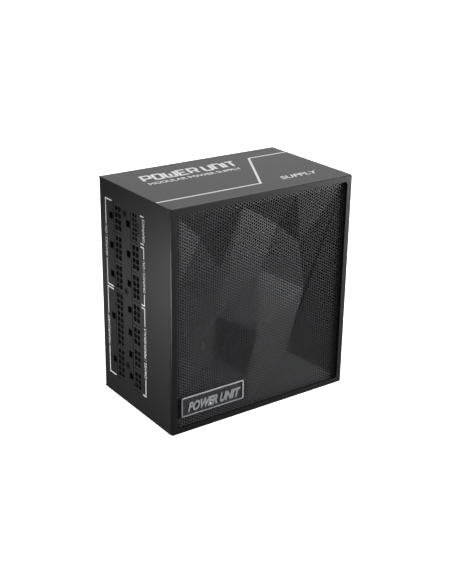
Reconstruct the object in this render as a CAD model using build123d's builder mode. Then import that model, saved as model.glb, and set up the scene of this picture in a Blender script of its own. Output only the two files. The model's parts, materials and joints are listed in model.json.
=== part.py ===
from build123d import *
import os
from math import cos, radians, sin, sqrt

# A modular power supply for a desktop computer, standing on one of its narrow sides.
# Origin: centre of the face it stands on. +Z up, -Y the fan face, -X the socket panel,
# +X the rear panel with the mains inlet.
os.makedirs("parts", exist_ok=True)

# ---- driving dimensions, millimetres ----
caseLength = 140.0          # X, socket panel to rear panel
caseDepth = 86.0            # Y, fan face to the wall behind the board
caseHeight = 150.0          # Z
sheet = 1.0                 # steel sheet of both shells
edgeRadius = 0.9

left, right = -caseLength / 2, caseLength / 2
front, back = -caseDepth / 2, caseDepth / 2
middle = caseHeight / 2

bezelThick = 2.0
bezelBorder = 4.0
grilleRecess = 1.5          # front plane to the grille's flat rim
grilleThick = 0.8
fanWallDepth = 5.5          # front plane to the fan wall
fanSize = 120.0
fanDepth = 25.0
ductRadius = 58.5
screwSpacing = 105.0        # fan corner holes
fanHole = 2.3
boardGap = 5.0              # board above the long wall
boardThick = 1.6

grilleFront = front + grilleRecess
grilleBack = grilleFront + grilleThick
bezelBack = front + bezelThick
fanWall = front + fanWallDepth
fanFront = fanWall + sheet
fanBack = fanFront + fanDepth
boardBack = back - sheet - boardGap
boardFront = boardBack - boardThick


# ---- helpers that work inside the open BuildPart ----
def block(x0, x1, y0, y1, z0, z1, mode=Mode.ADD):
    with Locations(((x0 + x1) / 2, (y0 + y1) / 2, (z0 + z1) / 2)):
        Box(x1 - x0, y1 - y0, z1 - z0, mode=mode)


def drumY(x, z, radius, y0, y1, mode=Mode.ADD):
    with Locations(Location((x, (y0 + y1) / 2, z), (90, 0, 0))):
        Cylinder(radius, y1 - y0, mode=mode)


def drumX(y, z, radius, x0, x1, mode=Mode.ADD):
    with Locations(Location(((x0 + x1) / 2, y, z), (0, 90, 0))):
        Cylinder(radius, x1 - x0, mode=mode)


def keep(piece, label):
    piece.part.label = label
    export_step(piece.part, f"parts/{label}.step")


# ---- socket panel layout: sockets stacked in two columns ----
pitch = 4.2                 # contact spacing
cell = 3.5                  # square mouth of one contact
finePitch = 3.0
fineCell = 2.3
socketWidth = 10.1
socketGap = 0.6
socketDeep = 14.0
socketRecess = 0.3          # housing front behind the panel's outer face
cellDeep = 9.5
windowSize = 4.5            # latch windows beside the sockets
windowOffset = 8.2          # socket centre to window centre
columnOneY = back - 22.85
columnTwoY = back - 44.1
# each entry: name, lower edge, upper edge, rows of contacts
columnOne = [
    ("socket_10_way", 14.3, 37.9, 5),
    ("socket_18_way", 37.9, 77.8, 9),
    ("socket_8_way_a", 77.8, 97.6, 4),
    ("socket_8_way_b", 97.6, 117.6, 4),
    ("socket_8_way_c", 117.6, 137.5, 4),
]
columnTwo = [
    ("socket_6_way_a", 13.7, 29.8, 3),
    ("socket_6_way_b", 29.8, 45.6, 3),
    ("socket_6_way_c", 45.6, 61.3, 3),
    ("socket_6_way_d", 61.3, 77.6, 3),
    ("socket_8_way_d", 77.6, 97.6, 4),
    ("socket_8_way_e", 97.6, 117.6, 4),
    ("socket_fine_16_way", 117.6, 137.5, 6),
]
socketFront = left + socketRecess
socketBack = socketFront + socketDeep
panelScrewY = back - 32.0
panelScrewZ = (28.0, 81.0, 133.0)
screwHead = 2.5             # every countersunk case screw
screwShank = 1.45
slotLong, slotWide, slotDeep = 1.4, 0.3, 0.5

# ---- rear panel layout ----
inletY, inletZ = 18.0, 129.0
inletCut = (27.0, 20.0)     # Y by Z
inletFlange = (31.0, 24.4)
switchY, switchZ = 18.0, 107.0
switchCut = (19.4, 13.0)
switchFlange = (21.4, 15.0)
flangeThick = 1.6
caseScrewRadius = 1.5
caseScrewCollar = 2.6
caseScrewLength = 2.5
caseScrews = [(37.0, 144.0), (37.0, 6.0), (-27.0, 144.0), (-37.0, 30.0)]
ventFlats = 4.2             # hexagon across flats
ventPitch = 5.0
ventColumns = 17
ventRows = 19
ventCentreZ = 52.0
ventMargin = 3.0            # plain sheet left round the vent's screw collar
flangeWide = 8.0            # inward flanges that meet the neighbouring walls
flangeZ = (20.0, 130.0)     # the rear panel's flange on the long wall, between the standoffs

# ---- fixings ----
coverScrews = [(x, z) for x in (-50.0, 50.0) for z in (6.0, caseHeight - 6.0)]
standoffs = [(x, z) for x in (-49.0, 4.0, 62.0) for z in (14.0, 136.0)]
standoffFlats = 5.5
standoffHole = 1.6
screwOffsets = (-screwSpacing / 2, screwSpacing / 2)
fanScrews = [(x, middle + z) for x in screwOffsets for z in screwOffsets]

# ---- base shell: the long wall and the socket panel, bent from one sheet ----
wallLow, wallHigh = sheet, caseHeight - sheet
flangeY0, flangeY1 = fanWall + 4.0, back - 6.0
with BuildPart() as baseShell:
    block(left, right - sheet, back - sheet, back, wallLow, wallHigh)
    block(left, left + sheet, bezelBack, back, wallLow, wallHigh)
    for z0 in (wallLow, wallHigh - sheet):
        block(left + sheet, left + sheet + flangeWide, flangeY0, flangeY1, z0, z0 + sheet)
    fillet(baseShell.edges().filter_by(Axis.Z).group_by(Axis.Y)[-1].sort_by(Axis.X)[0], edgeRadius)
    for columnY, stack in ((columnOneY, columnOne), (columnTwoY, columnTwo)):
        y0, y1 = columnY - socketWidth / 2 - 0.2, columnY + socketWidth / 2 + 0.2
        block(left - 1, left + 2, y0, y1, stack[0][1], stack[-1][2], Mode.SUBTRACT)
        for name, z0, z1, rows in stack:
            y0 = columnY + windowOffset - windowSize / 2
            zm = (z0 + z1) / 2
            block(left - 1, left + 2, y0, y0 + windowSize,
                  zm - windowSize / 2, zm + windowSize / 2, Mode.SUBTRACT)
    for z in panelScrewZ:
        with Locations(Location((left + sheet / 2, panelScrewY, z), (0, 90, 0))):
            Cone(screwHead, screwShank, sheet, mode=Mode.SUBTRACT)
    for x, z in coverScrews:
        with Locations(Location((x, back - sheet / 2, z), (90, 0, 0))):
            Cone(screwShank, screwHead, sheet, mode=Mode.SUBTRACT, rotation=(180, 0, 0))
    for x, z in standoffs:
        drumY(x, z, standoffHole, back - 2 * sheet, back + 1, Mode.SUBTRACT)
keep(baseShell, "base_shell")

# ---- rear panel: cut-outs for the inlet and switch, screw collars, honeycomb vent ----
with BuildPart() as rearPanel:
    block(right - sheet, right, bezelBack, back, wallLow, wallHigh)
    flangeX0, flangeX1 = right - sheet - flangeWide, right - sheet
    for z0 in (wallLow, wallHigh - sheet):
        block(flangeX0, flangeX1, flangeY0, flangeY1, z0, z0 + sheet)
    block(flangeX0, flangeX1, back - 2 * sheet, back - sheet, flangeZ[0], flangeZ[1])
    outerCorner = rearPanel.edges().filter_by(Axis.Z).group_by(Axis.Y)[-1].sort_by(Axis.X)[-1]
    fillet(outerCorner, edgeRadius)
    for size, y, z in ((inletCut, inletY, inletZ), (switchCut, switchY, switchZ)):
        block(right - 2, right + 1, y - size[0] / 2, y + size[0] / 2,
              z - size[1] / 2, z + size[1] / 2, Mode.SUBTRACT)
    for y, z in caseScrews:
        drumX(y, z, caseScrewCollar, right - caseScrewLength, right - sheet)
        drumX(y, z, caseScrewRadius, right - 4, right + 1, Mode.SUBTRACT)
    ventPlane = Plane(origin=(right, 0, ventCentreZ), x_dir=(0, 1, 0), z_dir=(1, 0, 0))
    with BuildSketch(ventPlane):
        with HexLocations(ventPitch / sqrt(3), ventColumns, ventRows):
            RegularPolygon(ventFlats / 2, 6, major_radius=False, rotation=30)
        for y, z in caseScrews:
            with Locations((y, z - ventCentreZ)):
                Circle(caseScrewCollar + ventMargin, mode=Mode.SUBTRACT)
    extrude(amount=-2 * sheet, mode=Mode.SUBTRACT)
keep(rearPanel, "rear_panel")

# ---- cover shell: two narrow walls, a stepped fan wall and screw tabs ----
ringFront = grilleBack
stepInset = 5.0             # side wall to the step round the fan wall
tabReach, tabHigh = 58.0, 9.0
seamRadius = 0.45
inner = right - sheet
stepIn = inner - stepInset  # half width inside the step
with BuildPart() as coverShell:
    block(left, right, bezelBack, back, 0, sheet)
    block(left, right, bezelBack, back, caseHeight - sheet, caseHeight)
    block(-inner, inner, ringFront, fanFront, 0, caseHeight)
    block(-stepIn, stepIn, ringFront, fanWall, stepInset, caseHeight - stepInset, Mode.SUBTRACT)
    for x0, x1 in ((-inner, -stepIn - sheet), (stepIn + sheet, inner)):
        block(x0, x1, ringFront + sheet, fanFront, sheet, caseHeight - sheet, Mode.SUBTRACT)
    for z0, z1 in ((sheet, stepInset - sheet), (caseHeight - stepInset + sheet, wallHigh)):
        block(-inner, inner, ringFront + sheet, fanFront, z0, z1, Mode.SUBTRACT)
    drumY(0, middle, ductRadius, fanWall - 1, fanFront + 1, Mode.SUBTRACT)
    for x, z in fanScrews:
        drumY(x, z, fanHole, fanWall - 1, fanFront + 1, Mode.SUBTRACT)
    for z0 in (sheet, caseHeight - sheet - tabHigh):
        block(-tabReach, tabReach, back - 2 * sheet, back - sheet, z0, z0 + tabHigh)
    for x, z in coverScrews:
        drumY(x, z, screwShank, back - 3, back, Mode.SUBTRACT)
    seams = coverShell.edges().filter_by(Axis.X).filter_by_position(Axis.Y, back - 0.01, back + 0.01)
    fillet(seams.group_by(Axis.Z)[-1], seamRadius)
keep(coverShell, "cover_shell")

# ---- front bezel: flat frame with a rebate behind it for the grille ----
with BuildPart() as bezel:
    with BuildSketch(Plane.XZ.offset(-front)) as bezelFace:
        with Locations((0, middle)):
            RectangleRounded(caseLength, caseHeight, edgeRadius)
            RectangleRounded(caseLength - 2 * bezelBorder, caseHeight - 2 * bezelBorder, 2.0,
                             mode=Mode.SUBTRACT)
    extrude(amount=-bezelThick)
    block(left + 2, right - 2, grilleFront, bezelBack + 1, 2, caseHeight - 2, Mode.SUBTRACT)
    fillet(bezel.faces().sort_by(Axis.Y)[0].outer_wire().edges(), 0.7)
keep(bezel, "front_bezel")

# ---- front grille: sheet pressed into flat facets; the fine perforation is not cut here ----
# corner name: X from the socket side, Z, depth pressed in behind the flat rim
low, high, near, far = 7.0, 143.0, 7.0, 133.0
corners = {
    "A": (near, high, 0.0), "B": (22.5, 127.8, 1.7), "C": (near, 101.6, 0.0),
    "D": (53.4, high, 0.0), "E": (95.4, high, 0.0), "F": (far, high, 0.0),
    "G": (far, low, 0.0), "H": (60.5, low, 0.0), "I": (near, 27.3, 0.0),
    "J": (near, 53.7, 0.0), "K": (34.8, 74.3, 1.2), "L": (23.7, 39.5, 1.6),
    "M": (32.9, 46.2, 2.1), "N": (66.0, 57.1, -0.9), "O": (58.6, 26.4, -0.5),
    "P": (94.0, 33.9, 3.8), "Q": (106.4, 75.7, 2.9), "R": (101.2, 109.8, 3.2),
    "S": (82.4, 125.3, 3.3), "T": (69.7, 97.6, 3.3), "W": (36.6, 105.2, 0.4),
    "U": (near, low, 0.0),
}
facets = ("ABC ABD BDW DST DTK DKW DES ESR EFR FRQ FQP FPG STR TQR KTN TQN NQP NPO "
          "OPH KNM NOM BWC WKC CKJ JKM JML JLI LMO ILO IOH IHU PGH").split()
borderLoop = "ACJIUHGFED"


def grillePoint(name, behind):
    x, z, depth = corners[name]
    return (left + x, grilleFront + depth + behind, z)


def grilleSkin(behind):
    skin = [Face(Wire.make_polygon([grillePoint(n, behind) for n in facet])) for facet in facets]
    y = grilleFront + behind
    outline = [(left + 2, y, 2), (right - 2, y, 2),
               (right - 2, y, caseHeight - 2), (left + 2, y, caseHeight - 2)]
    hole = Wire.make_polygon([grillePoint(n, behind) for n in borderLoop])
    skin.append(Face(Wire.make_polygon(outline), [hole]))
    return skin, outline


frontSkin, frontOutline = grilleSkin(0)
backSkin, backOutline = grilleSkin(grilleThick)
grilleEdges = []
for i in range(4):
    j = (i + 1) % 4
    loop = [frontOutline[i], frontOutline[j], backOutline[j], backOutline[i]]
    grilleEdges.append(Face(Wire.make_polygon(loop)))
with BuildPart() as grille:
    add(Solid(Shell(frontSkin + backSkin + grilleEdges)))
keep(grille, "front_grille")

# ---- badge plate on the grille ----
badgeX0, badgeX1, badgeZ0, badgeZ1 = left + 7.5, left + 55.5, 11.0, 24.5
badgeFront, badgeBack = front + 0.6, front + 1.0
with BuildPart() as badge:
    block(badgeX0, badgeX1, badgeFront, badgeBack, badgeZ0, badgeZ1)
    fillet(badge.edges().filter_by(Axis.Y), 0.8)
    chamfer(badge.faces().sort_by(Axis.Y)[0].edges(), 0.25)
    for x in (badgeX0 + 5, badgeX1 - 5):
        drumY(x, (badgeZ0 + badgeZ1) / 2, 1.2, badgeBack, grilleBack)
keep(badge, "badge_plate")

# ---- fan: frame, bearing, stator, board, rotor ----
bossOuter, bossInner, shaftRadius = 5.5, 4.0, 1.5
flangeDeep = 4.0
fanBase = fanBack - 3.0
frameCorner = 4.0
with BuildPart() as fanFrame:
    for y in (fanFront, fanBack - flangeDeep):
        with BuildSketch(Plane.XZ.offset(-y)):
            with Locations((0, middle)):
                RectangleRounded(fanSize, fanSize, frameCorner)
        extrude(amount=-flangeDeep)
    drumY(0, middle, fanSize / 2 - 0.2, fanFront, fanBack)
    drumY(0, middle, ductRadius, fanFront - 1, fanBack + 1, Mode.SUBTRACT)
    drumY(0, middle, 22.0, fanBase, fanBack)
    for angle in (45, 135, 225, 315):
        strut = Plane(origin=(0, fanBack - 1.5, middle), x_dir=(cos(radians(angle)), 0, sin(radians(angle))),
                      z_dir=(0, -1, 0))
        with BuildSketch(strut):
            with Locations((40.0, 0)):
                Rectangle(38.0, 5.0)
        extrude(amount=1.5, both=True)
    drumY(0, middle, bossOuter, fanBase - 13.0, fanBase)
    drumY(0, middle, bossInner, fanBase - 14.0, fanBase, Mode.SUBTRACT)
    for x, z in fanScrews:
        drumY(x, z, 2.15, fanFront - 1, fanBack + 1, Mode.SUBTRACT)
keep(fanFrame, "fan_frame")

with BuildPart() as bearing:
    drumY(0, middle, bossInner, fanBase - 13.0, fanBase)
    drumY(0, middle, shaftRadius + 0.05, fanBase - 14.0, fanBase - 0.6, Mode.SUBTRACT)
keep(bearing, "fan_bearing")

hubFront = fanFront + 3.5
hubBack = fanBase - 2.5
hubRadius, hubWall = 21.5, 1.6
with BuildPart() as fanShaft:
    drumY(0, middle, shaftRadius, hubFront + 1.0, fanBase - 1.0)
    chamfer(fanShaft.faces().sort_by(Axis.Y)[-1].edges(), 0.3)
keep(fanShaft, "fan_shaft")

bladeCount = 9
bladeTip = 56.6
bladeThick = 1.5
# radius, chord, pitch to the fan plane, how far the blade leans round
bladeStations = [(20.0, 20.0, 46.0, 0.0), (32.0, 26.0, 38.0, 3.0),
                 (44.0, 32.0, 31.0, 8.0), (58.5, 40.0, 25.0, 15.0)]
with BuildPart() as blade:
    for radius, chord, pitchAngle, lean in bladeStations:
        around = (cos(radians(lean)), 0, sin(radians(lean)))
        along = (-sin(radians(lean)) * cos(radians(pitchAngle)), sin(radians(pitchAngle)),
                 cos(radians(lean)) * cos(radians(pitchAngle)))
        where = (radius * around[0], (hubFront + hubBack) / 2 + 0.4, middle + radius * around[2])
        with BuildSketch(Plane(origin=where, x_dir=along, z_dir=around)):
            SlotOverall(chord, bladeThick)
    loft()
    with BuildSketch(Plane.XZ.offset(-hubFront - 0.3)):
        with Locations((0, middle)):
            Circle(bladeTip)
            Circle(hubRadius - 0.6, mode=Mode.SUBTRACT)
    extrude(amount=-(hubBack - hubFront - 0.6), mode=Mode.INTERSECT)

with BuildPart() as rotor:
    drumY(0, middle, hubRadius, hubFront, hubBack)
    fillet(rotor.faces().sort_by(Axis.Y)[0].edges(), 2.0)
    drumY(0, middle, hubRadius - hubWall, hubFront + 1.6, hubBack + 1, Mode.SUBTRACT)
    drumY(0, middle, 4.0, hubFront + 1.0, hubFront + 4.0)
    drumY(0, middle, shaftRadius, hubFront + 1.0, hubBack, Mode.SUBTRACT)
    for i in range(bladeCount):
        add(blade.part.rotate(Axis((0, 0, middle), (0, 1, 0)), i * 360 / bladeCount))
keep(rotor, "fan_rotor")

magnetOuter = hubRadius - hubWall
with BuildPart() as magnet:
    drumY(0, middle, magnetOuter, hubFront + 3.0, hubBack - 1.5)
    drumY(0, middle, magnetOuter - 2.0, hubFront, hubBack, Mode.SUBTRACT)
keep(magnet, "rotor_magnet")

statorRadius = magnetOuter - 3.0
statorFront, statorBack = hubFront + 4.5, hubBack - 3.0
with BuildPart() as stator:
    drumY(0, middle, 8.0, statorFront, statorBack)
    block(-statorRadius, statorRadius, statorFront, statorBack, middle - 2, middle + 2)
    block(-2, 2, statorFront, statorBack, middle - statorRadius, middle + statorRadius)
    with BuildSketch(Plane.XZ.offset(-statorFront)) as shoes:
        with Locations((0, middle)):
            Circle(statorRadius)
            Circle(statorRadius - 2.0, mode=Mode.SUBTRACT)
            for angle in (45, 135):
                Rectangle(2 * statorRadius + 2, 6.0, rotation=angle, mode=Mode.SUBTRACT)
    extrude(amount=-(statorBack - statorFront))
    drumY(0, middle, bossOuter, statorFront - 1, statorBack + 1, Mode.SUBTRACT)
keep(stator, "fan_stator")

coilIn, coilOut, coilHalf = 8.8, statorRadius - 2.9, 4.3
with BuildPart() as coils:
    for angle in (0, 90, 180, 270):
        pole = Plane(origin=(0, (statorFront + statorBack) / 2, middle),
                     x_dir=(cos(radians(angle)), 0, sin(radians(angle))), z_dir=(0, -1, 0))
        with BuildSketch(pole):
            with Locations(((coilIn + coilOut) / 2, 0)):
                Rectangle(coilOut - coilIn, 2 * coilHalf)
        extrude(amount=(statorBack - statorFront) / 2 + 1.4, both=True)
    block(-20, 20, statorFront - 0.01, statorBack + 0.01, middle - 2.01, middle + 2.01, Mode.SUBTRACT)
    block(-2.01, 2.01, statorFront - 0.01, statorBack + 0.01, middle - 20, middle + 20, Mode.SUBTRACT)
keep(coils, "fan_coils")

with BuildPart() as fanBoard:
    drumY(0, middle, 15.5, fanBase - 1.2, fanBase)
    drumY(0, middle, bossOuter, fanBase - 2, fanBase + 1, Mode.SUBTRACT)
    for x in (-10.0, 9.0):
        block(x, x + 3, fanBase - 2.2, fanBase - 1.2, middle + 2, middle + 4)
keep(fanBoard, "fan_board")

with BuildPart() as fanFixings:
    for x, z in fanScrews:
        drumY(x, z, 3.4, fanWall - 1.3, fanWall)
        drumY(x, z, 2.1, fanWall, fanFront + 9.0)
keep(fanFixings, "fan_screws")


# ---- sockets, their pins and the board behind them ----
def cellCentres(columnY, z0, z1, rows):
    fine = rows == 6
    step = finePitch if fine else pitch
    zm = (z0 + z1) / 2
    lanes = (columnY + 2.0, columnY - 1.0) if fine else (columnY + pitch / 2, columnY - pitch / 2)
    return [(y, zm + (row - (rows - 1) / 2) * step) for row in range(rows) for y in lanes]


def senseCentres(columnY, z0, z1):
    return [(columnY - 3.8, (z0 + z1) / 2 + (i - 1.5) * 2.0) for i in range(4)]


for columnY, stack in ((columnOneY, columnOne), (columnTwoY, columnTwo)):
    for name, z0, z1, rows in stack:
        fine = rows == 6
        mouth = fineCell if fine else cell
        with BuildPart() as socket:
            block(socketFront, socketBack, columnY - socketWidth / 2, columnY + socketWidth / 2,
                  z0 + socketGap / 2, z1 - socketGap / 2)
            with BuildSketch(Plane.YZ.offset(socketFront)):
                for i, (y, z) in enumerate(cellCentres(columnY, z0, z1, rows)):
                    with Locations((y, z)):
                        if i % 4 in (1, 2) and not fine:
                            RectangleRounded(mouth, mouth, 0.9)
                        else:
                            Rectangle(mouth, mouth)
                if fine:
                    for y, z in senseCentres(columnY, z0, z1):
                        with Locations((y, z)):
                            Rectangle(1.3, 1.3)
            extrude(amount=cellDeep, mode=Mode.SUBTRACT)
        keep(socket, name)

pinHalf = 0.55
boardX0 = socketBack
boardX1 = boardX0 + boardThick
with BuildPart() as pins:
    for columnY, stack in ((columnOneY, columnOne), (columnTwoY, columnTwo)):
        for name, z0, z1, rows in stack:
            half = 0.35 if rows == 6 else pinHalf
            for y, z in cellCentres(columnY, z0, z1, rows):
                block(socketFront + 2.0, socketFront + cellDeep, y - half, y + half, z - half, z + half)
keep(pins, "socket_pins")

modularY0, modularY1 = fanBack + 1.5, boardFront - 1.5
with BuildPart() as modularBoard:
    block(boardX0, boardX1, modularY0, modularY1, 8, 142)
    for z in panelScrewZ:
        drumX(panelScrewY, z, 1.6, boardX0 - 1, boardX1 + 1, Mode.SUBTRACT)
keep(modularBoard, "modular_board")

with BuildPart() as spacers:
    for z in panelScrewZ:
        drumX(panelScrewY, z, 3.0, left + sheet, boardX0)
        drumX(panelScrewY, z, screwShank, left + sheet, boardX0, Mode.SUBTRACT)
keep(spacers, "panel_spacers")

# the same countersunk screw holds the socket board's spacers and the cover's tabs
with BuildPart() as caseFixings:
    for z in panelScrewZ:
        with Locations(Location((left + sheet / 2, panelScrewY, z), (0, 90, 0))):
            Cone(screwHead, screwShank, sheet)
        drumX(panelScrewY, z, screwShank, left + sheet, left + 6)
        for across, along in ((slotLong, slotWide), (slotWide, slotLong)):
            block(left - 1, left + slotDeep, panelScrewY - across, panelScrewY + across,
                  z - along, z + along, Mode.SUBTRACT)
    for x, z in coverScrews:
        with Locations(Location((x, back - sheet / 2, z), (90, 0, 0))):
            Cone(screwShank, screwHead, sheet, rotation=(180, 0, 0))
        drumY(x, z, screwShank, back - 6, back - sheet)
        for across, along in ((slotLong, slotWide), (slotWide, slotLong)):
            block(x - across, x + across, back - slotDeep, back + 1, z - along, z + along, Mode.SUBTRACT)
keep(caseFixings, "case_screws")

# ---- mains inlet and rocker switch in the rear panel ----
inletDeep = 21.0
inletMouth = (24.6, 16.6)
inletFloor = 18.5
panelOut, panelIn = right, right - sheet
with BuildPart() as inlet:
    block(panelOut, panelOut + flangeThick, inletY - inletFlange[0] / 2, inletY + inletFlange[0] / 2,
          inletZ - inletFlange[1] / 2, inletZ + inletFlange[1] / 2)
    fillet(inlet.edges().filter_by(Axis.X), 2.0)
    chamfer(inlet.faces().sort_by(Axis.X)[-1].edges(), 0.5)
    block(panelOut - inletDeep, panelOut, inletY - inletCut[0] / 2, inletY + inletCut[0] / 2,
          inletZ - inletCut[1] / 2, inletZ + inletCut[1] / 2)
    with BuildSketch(Plane.YZ.offset(panelOut + flangeThick)) as inletHole:
        with Locations((inletY, inletZ)):
            Rectangle(inletMouth[0], inletMouth[1])
        chamfer(inletHole.vertices().group_by(Axis.Y)[-1], 4.0)
    extrude(amount=-inletFloor - flangeThick, mode=Mode.SUBTRACT)
keep(inlet, "ac_inlet")

# line, neutral and earth
bladeAt = [(inletY - 7.0, inletZ - 2.0), (inletY + 7.0, inletZ - 2.0), (inletY, inletZ + 2.0)]
switchDeep = 17.0
switchHole = (17.6, 11.2)
rockerX = right - 2.5
rockerRadius = 8.4
rockerTilt = 12.0
rockerHalf = 5.2
pivotRadius = 1.2
with BuildPart() as switchHousing:
    block(panelOut, panelOut + flangeThick, switchY - switchFlange[0] / 2, switchY + switchFlange[0] / 2,
          switchZ - switchFlange[1] / 2, switchZ + switchFlange[1] / 2)
    fillet(switchHousing.edges().filter_by(Axis.X), 1.2)
    chamfer(switchHousing.faces().sort_by(Axis.X)[-1].edges(), 0.5)
    block(panelOut - switchDeep, panelOut, switchY - switchCut[0] / 2, switchY + switchCut[0] / 2,
          switchZ - switchCut[1] / 2, switchZ + switchCut[1] / 2)
    block(panelOut - 11, panelOut + 3, switchY - switchHole[0] / 2, switchY + switchHole[0] / 2,
          switchZ - switchHole[1] / 2, switchZ + switchHole[1] / 2, Mode.SUBTRACT)
    with Locations((rockerX, switchY, switchZ)):
        Cylinder(pivotRadius + 0.05, switchHole[1] + 1.4, mode=Mode.SUBTRACT)
keep(switchHousing, "switch_housing")

with BuildPart() as rocker:
    with BuildSketch(Plane.XY.offset(switchZ)) as rockerSide:
        with Locations((rockerX, switchY)):
            Circle(rockerRadius)
        with BuildLine():
            Polyline((rockerX - 3.2, switchY - 9), (rockerX - 3.2, switchY + 9),
                     (rockerX + 6.2, switchY + 9), (rockerX + 4.2, switchY),
                     (rockerX + 6.2, switchY - 9), close=True)
        make_face(mode=Mode.INTERSECT)
    extrude(amount=rockerHalf, both=True)
    fillet(rocker.edges().filter_by(Axis.Z), 0.4)
    with Locations((rockerX, switchY, switchZ)):
        Cylinder(pivotRadius, 2 * rockerHalf + 1.8)
rockerAxis = Axis((rockerX, switchY, switchZ), (0, 0, 1))
with BuildPart() as rockerAtRest:
    add(rocker.part.rotate(rockerAxis, rockerTilt))
keep(rockerAtRest, "switch_rocker")

# contact blades in the inlet's mouth, and the flat terminals behind inlet and switch
bladeHalf, bladeHigh, bladeFront = 1.0, 2.0, 4.5
terminalHalf, terminalHigh = 0.4, 2.4
inletTail, switchTail = 5.0, 7.0
switchTerminals = (switchY - 6.0, switchY + 0.5, switchY + 7.0)
with BuildPart() as mainsBlades:
    for y, z in bladeAt:
        block(panelOut - inletFloor, panelOut - bladeFront, y - bladeHalf, y + bladeHalf,
              z - bladeHigh, z + bladeHigh)
        block(panelOut - inletDeep - inletTail, panelOut - inletDeep,
              y - terminalHalf, y + terminalHalf, z - terminalHigh, z + terminalHigh)
    for y in switchTerminals:
        block(panelOut - switchDeep - switchTail, panelOut - switchDeep,
              y - terminalHalf, y + terminalHalf, switchZ - terminalHigh, switchZ + terminalHigh)
keep(mainsBlades, "mains_blades")

# ---- main board on its standoffs ----
boardLeft, boardRight = boardX1 + 1.5, right - sheet - 3.0
with BuildPart() as mainBoard:
    block(boardLeft - 4, boardRight, boardFront, boardBack, 5.0, caseHeight - 5.0)
    for x, z in standoffs:
        drumY(x, z, standoffHole, boardFront - 1, boardBack + 1, Mode.SUBTRACT)
keep(mainBoard, "main_board")

insulationThick, insulationHole, insulationZ = 0.4, 3.6, 11.0
with BuildPart() as insulation:
    block(boardLeft - 8, flangeX0 - 0.5, back - sheet - insulationThick, back - sheet,
          insulationZ, caseHeight - insulationZ)
    for x, z in standoffs:
        drumY(x, z, insulationHole, back - sheet - 3, back - sheet, Mode.SUBTRACT)
keep(insulation, "insulation_sheet")

boardScrewShank, boardScrewHead, boardScrewHeadTall = 1.25, 2.8, 1.8
with BuildPart() as posts:
    for x, z in standoffs:
        with BuildSketch(Plane.XZ.offset(-boardBack)):
            with Locations((x, z)):
                RegularPolygon(standoffFlats / 2, 6, major_radius=False)
                Circle(boardScrewShank, mode=Mode.SUBTRACT)
        extrude(amount=-boardGap)
        drumY(x, z, standoffHole, back - sheet, back)
keep(posts, "board_standoffs")

with BuildPart() as boardScrews:
    for x, z in standoffs:
        drumY(x, z, boardScrewHead, boardFront - boardScrewHeadTall, boardFront)
        drumY(x, z, boardScrewShank, boardFront, boardFront + 5.0)
keep(boardScrews, "board_screws")


# ---- components: each stands on the board's front face, reaching towards the fan ----
def stand(x, z, width, height, tall, mode=Mode.ADD):
    block(x - width / 2, x + width / 2, boardFront - tall, boardFront, z - height / 2, z + height / 2, mode)


def standRound(x, z, radius, tall, mode=Mode.ADD):
    drumY(x, z, radius, boardFront - tall, boardFront, mode)


def ringChoke(x, z, radius, thick):
    centre = boardFront - radius - 1.0
    drumX(centre, z, radius, x - thick / 2, x + thick / 2)
    drumX(centre, z, radius * 0.42, x - thick, x + thick, Mode.SUBTRACT)
    block(x - thick / 2 - 1, x + thick / 2 + 1, boardFront - 1.2, boardFront,
          z - radius * 0.7, z + radius * 0.7)


with BuildPart() as lineChokes:
    ringChoke(x=26.0, z=126.0, radius=12.5, thick=14.0)
    ringChoke(x=5.0, z=122.0, radius=11.0, thick=12.0)
keep(lineChokes, "line_filter_chokes")

with BuildPart() as xCaps:
    for x, z in ((35.5, 108.5), (16.0, 106.0)):
        stand(x, z, width=18.0, height=9.0, tall=16.0)
    fillet(xCaps.edges().filter_by(Axis.Y), 0.8)
keep(xCaps, "x_capacitors")

discAbove, discRadius, discHalf = 7.0, 4.5, 1.8
with BuildPart() as yCaps:
    for x, z in ((58.0, 96.0), (52.0, 96.0), (46.0, 97.0), (1.0, 104.0)):
        drumX(boardFront - discAbove, z, discRadius, x - discHalf, x + discHalf)
        stand(x, z, width=1.0, height=6.0, tall=4.0)
keep(yCaps, "y_capacitors")

fuseZ = 88.0
with BuildPart() as fuse:
    drumX(boardFront - 5.0, fuseZ, 2.6, 44.0, 62.0)
    for x in (46.0, 60.0):
        stand(x, fuseZ, width=1.2, height=3.0, tall=3.0)
keep(fuse, "mains_fuse")

with BuildPart() as relay:
    stand(x=30.0, z=92.0, width=19.0, height=10.0, tall=15.0)
    fillet(relay.edges().filter_by(Axis.Y), 0.6)
keep(relay, "inrush_relay")

thermistorZ = 95.0
with BuildPart() as thermistor:
    drumY(10.0, thermistorZ, 6.0, boardFront - 15.0, boardFront - 11.0)
    for x in (7.5, 12.5):
        stand(x, thermistorZ, width=0.9, height=0.9, tall=11.5)
keep(thermistor, "inrush_thermistor")

sinkZ, sinkTop, plateHalf = 80.0, -6.0, 1.5
finPitch, finThick, finLong, finBack = 5.8, 1.4, 8.5, 6.0
with BuildPart() as inputSink:
    block(12.0, 62.0, sinkTop, boardFront, sinkZ - plateHalf, sinkZ + plateHalf)
    for i in range(9):
        x = 13.5 + i * finPitch
        block(x, x + finThick, sinkTop, finBack, sinkZ - plateHalf, sinkZ + finLong)
keep(inputSink, "input_heatsink")

packageTop, legThick = 12.0, 0.8
with BuildPart() as bridge:
    block(40.0, 62.0, packageTop, 30.0, sinkZ - 5.5, sinkZ - plateHalf)
    for i in range(4):
        x = 42.5 + i * 5.6
        block(x, x + 1.2, 30.0, boardFront, sinkZ - 4.0, sinkZ - 4.0 + legThick)
keep(bridge, "bridge_rectifier")

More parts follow.
